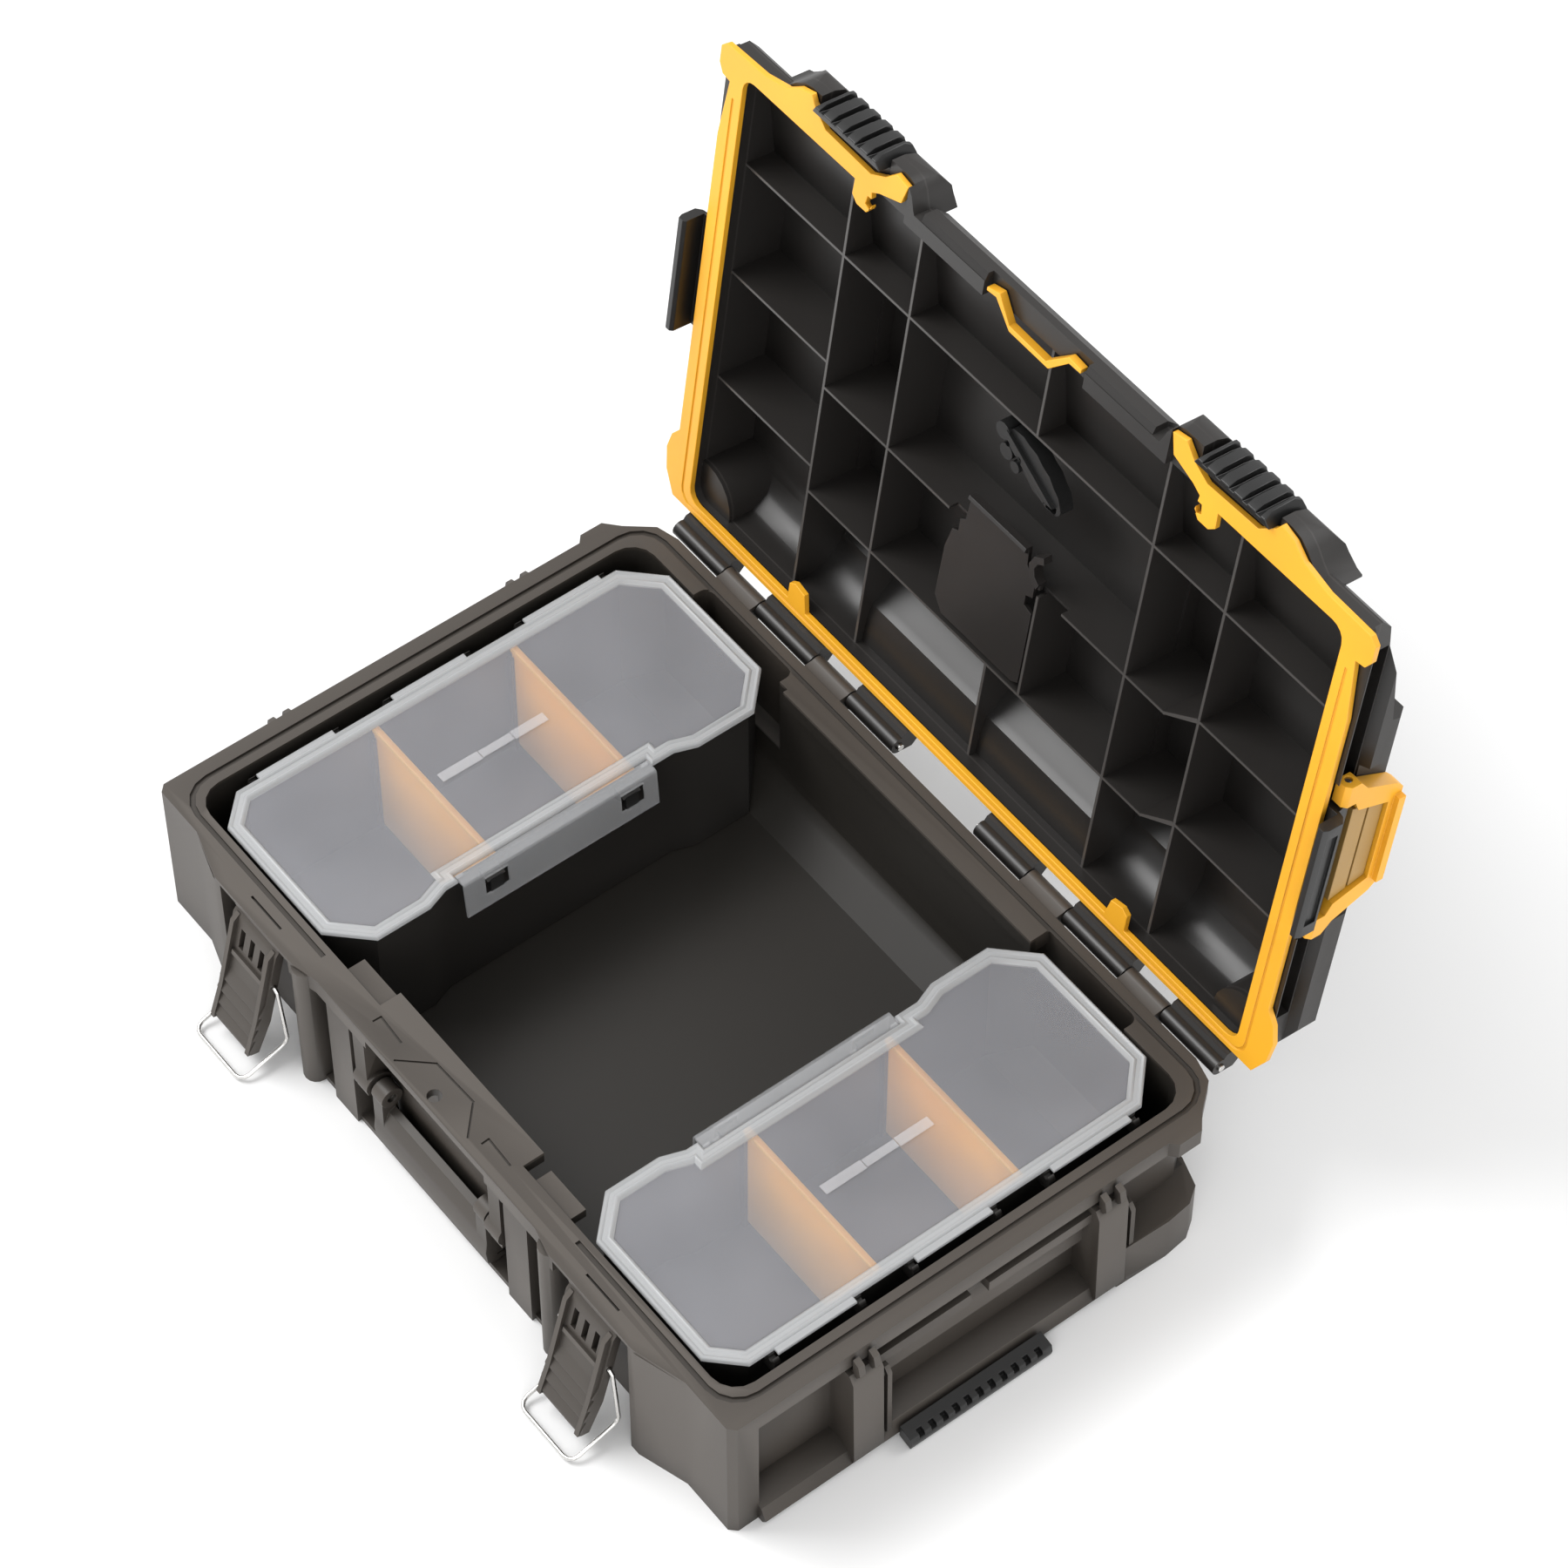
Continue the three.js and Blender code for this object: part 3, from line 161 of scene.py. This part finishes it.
# ---------------------------------------------------------------- materials
def moulded(name, color, roughness, bump=0.12, edge_highlight=0.25, highlight_lift=1.35, crevice_shade=0.5):
    """Injection-moulded plastic: fine grain, faint clouds, edges paled by a painted highlight, and
    painted shade darkening crevices.
    """
    material, tree, shader = principled(name)

    clouds = noise(tree, CLOUD_SCALE, 5.0)
    tone = tree.nodes.new("ShaderNodeValToRGB")
    for stop, (place, share) in zip(tone.color_ramp.elements, CLOUD_TONES):
        stop.position = place
        stop.color = (*[min(c * share, 1) for c in color], 1)
    tree.links.new(clouds, tone.inputs["Fac"])

    # Painted highlight: sharp edges paled towards a lighter copy of the colour.
    geometry = tree.nodes.new("ShaderNodeNewGeometry")
    edge_highlight_mask = remap(tree, geometry.outputs["Pointiness"], EDGE_HIGHLIGHT_POINTINESS, (0.0, edge_highlight))
    pale = [min(c * highlight_lift + 0.03, 1) for c in color]
    edge_highlighted = mix_in(tree, edge_highlight_mask, tone.outputs["Color"], pale)

    # Painted shade: crevices and recesses darkened in the base colour by ambient occlusion.
    open_air = tree.nodes.new("ShaderNodeAmbientOcclusion")
    open_air.samples = 6
    open_air.inputs["Distance"].default_value = CREVICE_SHADE_REACH
    shade = remap(tree, open_air.outputs["AO"], CREVICE_SHADE_RANGE, (crevice_shade, 1.0))
    darken = tree.nodes.new("ShaderNodeVectorMath")
    darken.operation = "SCALE"
    tree.links.new(edge_highlighted, darken.inputs[0])
    tree.links.new(shade, darken.inputs["Scale"])
    tree.links.new(darken.outputs["Vector"], shader.inputs["Base Color"])

    relief(tree, shader, noise(tree, GRAIN_SCALE), bump, GRAIN_DEPTH)
    rough = remap(tree, clouds, target=(roughness - 0.06, roughness + 0.08))
    tree.links.new(rough, shader.inputs["Roughness"])
    return material


def frosted(name, color, alpha, roughness, grain=900.0, ripple=0.08):
    """Frosted translucent plastic with a fine ripple; alpha lets what is under it show, hazed."""
    material, tree, shader = principled(name)
    relief(tree, shader, noise(tree, grain), ripple, RIPPLE_DEPTH)
    veil = remap(tree, noise(tree, HAZE_SCALE), target=(alpha - HAZE_SPREAD, alpha + HAZE_SPREAD))
    tree.links.new(veil, shader.inputs["Alpha"])
    shader.inputs["Base Color"].default_value = (*color, 1)
    shader.inputs["Roughness"].default_value = roughness
    shader.inputs["IOR"].default_value = PLASTIC_IOR
    return material


def steel(name):
    """Drawn steel wire, its shine varying a little."""
    material, tree, shader = principled(name)
    rough = remap(tree, noise(tree, 420.0), target=(0.14, 0.34))
    tree.links.new(rough, shader.inputs["Roughness"])
    shader.inputs["Base Color"].default_value = (0.72, 0.71, 0.69, 1)
    shader.inputs["Metallic"].default_value = 1.0
    return material


def lid_plastic(name, color):
    """Lid plastic: glossy inside, with a painted highlight on the ribs' thin edges, and grained
    outside.
    """
    material = moulded(name, color, 0.34, edge_highlight=0.12)
    tree = material.node_tree
    shader = tree.nodes["Principled BSDF"]
    base, gloss = feeding(shader, "Base Color"), feeding(shader, "Roughness")
    coords = tree.nodes.new("ShaderNodeTexCoord")

    # Painted highlight: the ribs' free edges are painted about three times lighter.
    height = along(tree, coords.outputs["Object"], LID_UP)
    edges = near(tree, height, RIB_LEVEL, RIB_EDGE)
    rib_highlighted = mix_in(tree, edges, base, [c * 3.0 + 0.02 for c in color])

    outward = along(tree, coords.outputs["Normal"], LID_UP)
    outer = remap(tree, outward, (-0.25, 0.15))
    skin = mix_in(tree, outer, rib_highlighted, [c * 1.7 for c in color])
    tree.links.new(skin, shader.inputs["Base Color"])

    rough = tree.nodes.new("ShaderNodeMix")
    rough.inputs["B"].default_value = 0.56
    tree.links.new(outer, rough.inputs["Factor"])
    tree.links.new(gloss, rough.inputs["A"])
    tree.links.new(rough.outputs["Result"], shader.inputs["Roughness"])
    return material


def tub_plastic(name, color, roughness):
    """Tub plastic: grained outside, with painted shade darkening the inside of the tub."""
    # The tub's strongly paled rims are a painted highlight.
    material = moulded(name, color, roughness, edge_highlight=0.5, highlight_lift=1.7, crevice_shade=0.4)
    tree = material.node_tree
    shader = tree.nodes["Principled BSDF"]
    base = feeding(shader, "Base Color")
    coords = tree.nodes.new("ShaderNodeTexCoord")
    split = tree.nodes.new("ShaderNodeSeparateXYZ")
    tree.links.new(coords.outputs["Object"], split.inputs["Vector"])
    inside = None
    for axis, middle, half in TUB_HOLLOW:
        within = near(tree, split.outputs[axis], middle, half)
        if inside:
            both = tree.nodes.new("ShaderNodeMath")
            both.operation = "MULTIPLY"
            tree.links.new(inside, both.inputs[0])
            tree.links.new(within, both.inputs[1])
            within = both.outputs["Value"]
        inside = within
    # Painted shade: the tub's hollow is mixed towards a darker colour.
    tree.links.new(
        mix_in(tree, inside, base, (0.020, 0.0175, 0.0145)), shader.inputs["Base Color"]
    )
    return material


def divider_plastic(name, color, floor_z):
    """Divider plastic with painted shade, darker from its top edge towards floor_z, and a painted
    glow.
    """
    material = moulded(name, color, 0.45, bump=0.04, edge_highlight=0.1, highlight_lift=1.05)
    tree = material.node_tree
    shader = tree.nodes["Principled BSDF"]
    base = feeding(shader, "Base Color")
    coords = tree.nodes.new("ShaderNodeTexCoord")
    split = tree.nodes.new("ShaderNodeSeparateXYZ")
    tree.links.new(coords.outputs["Object"], split.inputs["Vector"])
    unshaded_to = DIVIDER_TOP - DIVIDER_UNSHADED
    # Painted shade: darker from near the top down to floor_z.
    depth = remap(tree, split.outputs["Z"], (unshaded_to, floor_z), (0.0, 0.85))
    shaded_and_glowing = mix_in(tree, depth, base, (0.30, 0.19, 0.09))
    tree.links.new(shaded_and_glowing, shader.inputs["Base Color"])
    # Painted glow: the same colour is emitted, though the divider is no lamp.
    tree.links.new(shaded_and_glowing, shader.inputs["Emission Color"])
    shader.inputs["Emission Strength"].default_value = DIVIDER_PAINTED_GLOW
    return material


LOOKS = {
    "shell": tub_plastic("tub plastic", (0.050, 0.0415, 0.034), 0.48),
    "black": moulded("black plastic", (0.010, 0.010, 0.010), 0.36),
    "yellow": moulded("yellow plastic", (0.93, 0.44, 0.022), 0.4, edge_highlight=0.05, bump=0.05, highlight_lift=1.05),
    "amber": moulded("tan plastic", (0.42, 0.25, 0.07), 0.4, edge_highlight=0.1, highlight_lift=1.15),
    "divider": divider_plastic("divider plastic", (1.0, 0.42, 0.02), DIVIDER_FLOOR),
    "frosted": frosted("clear flap", (0.70, 0.71, 0.73), 0.24, 0.2),
    "steel": steel("steel wire"),
}
BIN_LOOK = moulded("organiser plastic", (0.020, 0.018, 0.016), 0.48)
OWN_LOOK = {
    "lid_shell": lid_plastic("lid plastic", (0.013, 0.0115, 0.0105)),
    "lid_panel": moulded("lid panel plastic", (0.016, 0.014, 0.013), 0.34, edge_highlight=0.15),
    "organiser_body_left": BIN_LOOK,
    "organiser_body_right": BIN_LOOK,
}
SLOT_OF = {entry["node"]: entry["material_slot"] for entry in frame["record"]["subparts"]}


# ---------------------------------------------------------------- finish of the CAD nodes
ROUNDING = {
    "base_tub": 0.0008,
    "lid_shell": 0.0007,
    "lid_seal_frame": 0.0006,
    "lid_catch_left": 0.0008,
    "lid_catch_right": 0.0008,
}
PLAIN_ROUNDING = 0.0004
WELD_WITHIN = 0.000005
FLAT_WITHIN = math.radians(0.6)
ROUND_OVER = math.radians(38)


def smooth_shading():
    """Modifier tree that drops the imported normals and shades smooth, on the modified copy only."""
    tree = bpy.data.node_groups.new("smooth shading", "GeometryNodeTree")
    for way in ("INPUT", "OUTPUT"):
        tree.interface.new_socket("Geometry", in_out=way, socket_type="NodeSocketGeometry")
    start = tree.nodes.new("NodeGroupInput")
    drop = tree.nodes.new("GeometryNodeRemoveAttribute")
    drop.inputs["Name"].default_value = "custom_normal"
    smooth = tree.nodes.new("GeometryNodeSetShadeSmooth")
    end = tree.nodes.new("NodeGroupOutput")
    tree.links.new(start.outputs[0], drop.inputs["Geometry"])
    tree.links.new(drop.outputs["Geometry"], smooth.inputs["Geometry"])
    tree.links.new(smooth.outputs["Geometry"], end.inputs[0])
    return tree


SMOOTH = smooth_shading()


def dress(obj, look, bevel):
    """Gives a CAD node its finish and softly rounded edges, with slots and modifiers only."""
    for material_slot in obj.material_slots:
        material_slot.material = look
    shade = obj.modifiers.new("shade", "NODES")
    shade.node_group = SMOOTH
    weld = obj.modifiers.new("weld", "WELD")
    weld.merge_threshold = WELD_WITHIN
    flat = obj.modifiers.new("flat", "DECIMATE")
    flat.decimate_type = "DISSOLVE"
    flat.angle_limit = FLAT_WITHIN
    edge = obj.modifiers.new("edge", "BEVEL")
    edge.limit_method = "ANGLE"
    edge.angle_limit = ROUND_OVER
    edge.width = bevel
    edge.segments = 2
    edge.harden_normals = True
    edge.use_clamp_overlap = True


for node, obj in frame["nodes"].items():
    dress(obj, OWN_LOOK.get(node, LOOKS[SLOT_OF[node]]), ROUNDING.get(node, PLAIN_ROUNDING))


# ---------------------------------------------------------------- mesh helpers
SHARP_OVER = math.radians(35)


def new_piece(name, vertices, faces, look, body):
    """A visible piece that rides on a body."""
    mesh = bpy.data.meshes.new(name)
    mesh.from_pydata([tuple(v) for v in vertices], [], faces)
    mesh.validate()
    build = bmesh.new()
    build.from_mesh(mesh)
    bmesh.ops.recalc_face_normals(build, faces=build.faces)
    build.to_mesh(mesh)
    build.free()
    mesh.polygons.foreach_set("use_smooth", [True] * len(mesh.polygons))
    mesh.set_sharp_from_angle(angle=SHARP_OVER)
    mesh.materials.append(look)
    piece = bpy.data.objects.new(name, mesh)
    scene.collection.objects.link(piece)
    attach(piece, body)
    return piece


def inset(outline, distance):
    """A closed outline in X and Y, counter-clockwise, moved inwards with mitred corners."""
    moved = []
    count = len(outline)
    for i in range(count):
        p, q, r = (Vector(outline[(i + k) % count]) for k in (-1, 0, 1))
        a, b = (q - p).normalized(), (r - q).normalized()
        na, nb = Vector((-a.y, a.x)), Vector((-b.y, b.x))
        middle = (na + nb).normalized()
        moved.append(q + middle * (distance / middle.dot(na)))
    return moved


def layers(outline, profile, flip):
    """The vertices of an outline repeated at each (inset, height); flip mirrors them in X."""
    return [
        (p.x * flip, p.y, height) for distance, height in profile for p in inset(outline, distance)
    ]


def ring(outline, profile, flip):
    """Sweeps a closed profile of (inset, height) round an outline."""
    faces = []
    count, steps = len(outline), len(profile)
    for j in range(steps):
        here, there = j * count, ((j + 1) % steps) * count
        for i in range(count):
            k = (i + 1) % count
            faces.append((here + i, here + k, there + k, there + i))
    return layers(outline, profile, flip), faces


def sheet_of(outline, low, high, rim, flip):
    """A flat panel on an outline, its edges eased by rim."""
    profile = ((rim, low), (0, low + rim), (0, high - rim), (rim, high))
    count, last = len(outline), len(profile) - 1
    faces = []
    for j in range(last):
        for i in range(count):
            a, b = j * count + i, j * count + (i + 1) % count
            faces.append((a, b, b + count, a + count))
    faces.append(tuple(range(count)))
    faces.append(tuple(range(last * count, (last + 1) * count)))
    return layers(outline, profile, flip), faces


def prism(section, ends, place):
    """A closed section drawn at two ends and capped; place(end, u, v) gives each vertex."""
    vertices = [place(end, u, v) for end in ends for u, v in section]
    count = len(section)
    faces = []
    for i in range(count):
        j = (i + 1) % count
        faces.append((i, j, j + count, i + count))
    faces.append(tuple(range(count)))
    faces.append(tuple(range(count, 2 * count)))
    return vertices, faces


def oblong(x0, x1, y0, y1):
    return [(x0, y0), (x1, y0), (x1, y1), (x0, y1)]


# ---------------------------------------------------------------- organiser lids
# Each alpha counts twice, once for each face of the sheet.
PANEL = frosted("frosted panel", (0.64, 0.645, 0.69), 0.19, 0.55, grain=45.0, ripple=0.0)
PANEL.node_tree.nodes["Principled BSDF"].inputs["Specular IOR Level"].default_value = 0.2
BORDER = frosted("frosted border", (0.62, 0.63, 0.64), 0.5, 0.24, grain=120.0)
BAR = frosted("clear bar", (0.80, 0.80, 0.82), 0.24, 0.12)

LID_CORNER = 0.022
LID_SHORT_CORNER = LID_CORNER * 0.8
LID_WAIST = 0.005  # how far the flap's side draws in
NOTCH_DEPTH = 0.0056  # and how much further, where the flap hangs
FLAP_GAP = 0.0006
HINGE_ROOM = 0.004
PANEL_INSET = 0.0087

# Along Y: start and end, and for a bar its half width.
BARS = ((-0.043, -0.016, 0.0032), (-0.0155, 0.006, 0.0027), (0.0065, 0.029, 0.0032))
HINGE_STRIPS = ((-0.122, -0.071), (-0.031, 0.019), (0.060, 0.113))


def lid_outline(x0, x1, y0, y1, flap_low, flap_high):
    """The lid in plan, from the flap's side at x0 to the hinge at x1."""
    waist = x0 + LID_WAIST
    notch = waist + NOTCH_DEPTH
    return [
        (x0 + LID_CORNER, y0),
        (x1 - LID_SHORT_CORNER, y0),
        (x1, y0 + LID_SHORT_CORNER),
        (x1, y1 - LID_CORNER),
        (x1 - LID_CORNER, y1),
        (x0 + LID_CORNER, y1),
        (x0, y1 - LID_CORNER),
        (x0, y1 - 0.061),
        (waist, flap_high + 0.015),
        (waist, flap_high),
        (notch, flap_high),
        (notch, flap_low),
        (waist, flap_low),
        (waist, flap_low - 0.008),
        (x0, flap_low - 0.022),
        (x0, y0 + LID_CORNER),
    ]


def organiser_lid(name, flip):
    """A frosted panel in a double-beaded border, with its clear bars and hinge strips."""
    body = "organiser_lid_" + name
    low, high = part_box("organiser_lid_" + name)
    flap_low, flap_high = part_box("organiser_latch_" + name)
    x0 = min(abs(low.x), abs(high.x))
    x1 = max(abs(low.x), abs(high.x)) - HINGE_ROOM
    outline = lid_outline(x0, x1, low.y, high.y, flap_low.y - FLAP_GAP, flap_high.y + FLAP_GAP)
    base = low.z + 0.0017
    top = high.z
    # Up the outer face, over the first bead, the groove and the second bead, and down inside.
    profile = [
        (0.0006, base),
        (0.0, base + 0.0006),
        (0.0, top - 0.0014),
        (0.0004, top - 0.0005),
        (0.0012, top),
        (0.0021, top - 0.0003),
        (0.0028, top - 0.0011),
        (0.0050, top - 0.0012),
        (0.0057, top - 0.0004),
        (0.0065, top - 0.0002),
        (0.0073, top - 0.0006),
        (0.0081, top - 0.0019),
        (0.0086, top - 0.0024),
        (0.0086, base + 0.0004),
        (0.0078, base),
    ]
    vertices, faces = ring(outline, profile, flip)
    border = new_piece("organiser_lid_border_" + name, vertices, faces, BORDER, body)
    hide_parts("organiser_lid_" + name)

    pane = inset(outline, PANEL_INSET)
    vertices, faces = sheet_of(pane, top - 0.0036, top - 0.0022, 0.0003, flip)
    new_piece("organiser_lid_panel_" + name, vertices, faces, PANEL, body)

    # The bars lie end to end along the middle of the lid.
    middle = (x0 + x1) / 2 + 0.004
    for part, (start, end, half) in enumerate(BARS):
        strip = oblong(middle - half, middle + half, start, end)
        vertices, faces = sheet_of(strip, top - 0.0021, top - 0.0012, 0.00025, flip)
        new_piece("organiser_bar_%s_%d" % (name, part), vertices, faces, BAR, body)

    hinge_x = x1 + 0.0026
    for part, (start, end) in enumerate(HINGE_STRIPS):
        strip = oblong(x1 - 0.0005, hinge_x + 0.0012, start, end)
        vertices, faces = sheet_of(strip, base + 0.0003, top - 0.0012, 0.0004, flip)
        new_piece("organiser_hinge_%s_%d" % (name, part), vertices, faces, BORDER, body)


# ---------------------------------------------------------------- divider tops
# The bead takes the dividers' painted glow, and with its floor at 0 almost none of their painted
# shade.
BEAD_LOOK = divider_plastic("divider edge", (1.0, 0.47, 0.03), 0.0)
BEAD_HALF = 0.0021
BEAD_FALL = 0.0034
BEAD_SHOULDER = -0.0009
BEAD_RISE = 0.0008
BEAD_STEPS = 6


def divider_cap(node, body):
    """Rounded bead along the top edge of a divider, wider than its web."""
    low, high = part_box(node)
    middle = (low.y + high.y) / 2
    section = [(-BEAD_HALF, -BEAD_FALL), (BEAD_HALF, -BEAD_FALL), (BEAD_HALF, BEAD_SHOULDER)]
    for step in range(1, BEAD_STEPS):
        turn = math.pi * step / BEAD_STEPS
        section.append((BEAD_HALF * math.cos(turn), BEAD_SHOULDER + BEAD_RISE * math.sin(turn)))
    section.append((-BEAD_HALF, BEAD_SHOULDER))
    vertices, faces = prism(section, (low.x, high.x), lambda x, y, z: (x, middle + y, high.z + z))
    new_piece(node + "_bead", vertices, faces, BEAD_LOOK, body)


# ---------------------------------------------------------------- organiser latch hooks
HOOK_PLACES = (-0.0545, 0.038)
HOOK_HALF = 0.0043
HOOK_BACK = 0.0018  # from the flap's inner face to the hook's
HOOK_SECTION = [
    (0.0, -0.0185),
    (0.0034, -0.0185),
    (0.0034, -0.0115),
    (0.0022, -0.0095),
    (0.0, -0.0085),
]


def latch_hooks(name, flip):
    """The black hooks of the bin that show through the flap's two windows."""
    low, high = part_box("organiser_latch_" + name)
    face = min(abs(low.x), abs(high.x)) + HOOK_BACK
    body, look = "organiser_" + name, LOOKS["black"]
    for part, y in enumerate(HOOK_PLACES):

        def place(end, x, z):
            return (face + x) * flip, y + end, high.z + z

        vertices, faces = prism(HOOK_SECTION, (-HOOK_HALF, HOOK_HALF), place)
        new_piece("organiser_hook_%s_%d" % (name, part), vertices, faces, look, body)


for hand, flip in (("left", -1), ("right", 1)):
    organiser_lid(hand, flip)
for hand in ("left", "right"):
    for place in ("front", "back"):
        divider_cap("divider_%s_%s" % (hand, place), "organiser_" + hand)
for hand, flip in (("left", -1), ("right", 1)):
    latch_hooks(hand, flip)

# ---------------------------------------------------------------- floor and light
FLOOR_HALF = 30
world = bpy.data.worlds.new("studio")
scene.world = world
world.use_nodes = True
sky = world.node_tree.nodes["Background"]
sky.inputs["Color"].default_value = (1, 1, 1, 1)
sky.inputs["Strength"].default_value = 0.8
scene.view_settings.view_transform = "Standard"

floor_mesh = bpy.data.meshes.new("floor")
corners = oblong(-FLOOR_HALF, FLOOR_HALF, -FLOOR_HALF, FLOOR_HALF)
floor_mesh.from_pydata([(x, y, 0) for x, y in corners], [], [(0, 1, 2, 3)])
floor = bpy.data.objects.new("floor", floor_mesh)
scene.collection.objects.link(floor)
pale, _, pale_shader = principled("floor")
pale_shader.inputs["Base Color"].default_value = (0.86, 0.86, 0.86, 1)
pale_shader.inputs["Roughness"].default_value = 0.9
floor_mesh.materials.append(pale)


def softbox(name, at, to, size, watts):
    """A soft rectangular lamp at one point, aimed at another."""
    light = bpy.data.lights.new(name, "AREA")
    light.shape = "RECTANGLE"
    light.size, light.size_y = size
    light.energy = watts
    lamp = bpy.data.objects.new(name, light)
    lamp.location = at
    lamp.rotation_euler = (Vector(to) - Vector(at)).to_track_quat("-Z", "Y").to_euler()
    scene.collection.objects.link(lamp)


softbox("key", (-1.3, -1.0, 2.4), (0, 0.05, 0.15), (1.6, 1.2), 55)
softbox("fill", (1.9, -1.6, 1.5), (0, 0.05, 0.1), (1.6, 1.4), 22)
softbox("rim", (0.6, 2.2, 1.9), (0, 0.1, 0.3), (1.8, 1.0), 20)

# ---------------------------------------------------------------- camera, fitted to the photograph
AZIMUTH = math.radians(52.1327)
ELEVATION = math.radians(52.2806)
ROLL = math.radians(0.158)
DISTANCE = 2.9963
TARGET = Vector((-0.0776, 0.12446, 0.0579))
LENS_MM = 122.38
SENSOR_MM = 36.0

back = Vector(
    (
        math.sin(AZIMUTH) * math.cos(ELEVATION),
        -math.cos(AZIMUTH) * math.cos(ELEVATION),
        math.sin(ELEVATION),
    )
)
level = Vector((0, 0, 1)).cross(back).normalized()
up = back.cross(level)
right = math.cos(ROLL) * level + math.sin(ROLL) * up
top = -math.sin(ROLL) * level + math.cos(ROLL) * up
lens = bpy.data.cameras.new("camera")
lens.sensor_width = SENSOR_MM
lens.lens = LENS_MM
lens.clip_end = 50
camera = bpy.data.objects.new("camera", lens)
turn = Matrix((right, top, back)).transposed().to_4x4()
camera.matrix_world = Matrix.Translation(TARGET + back * DISTANCE) @ turn
scene.collection.objects.link(camera)
scene.camera = camera
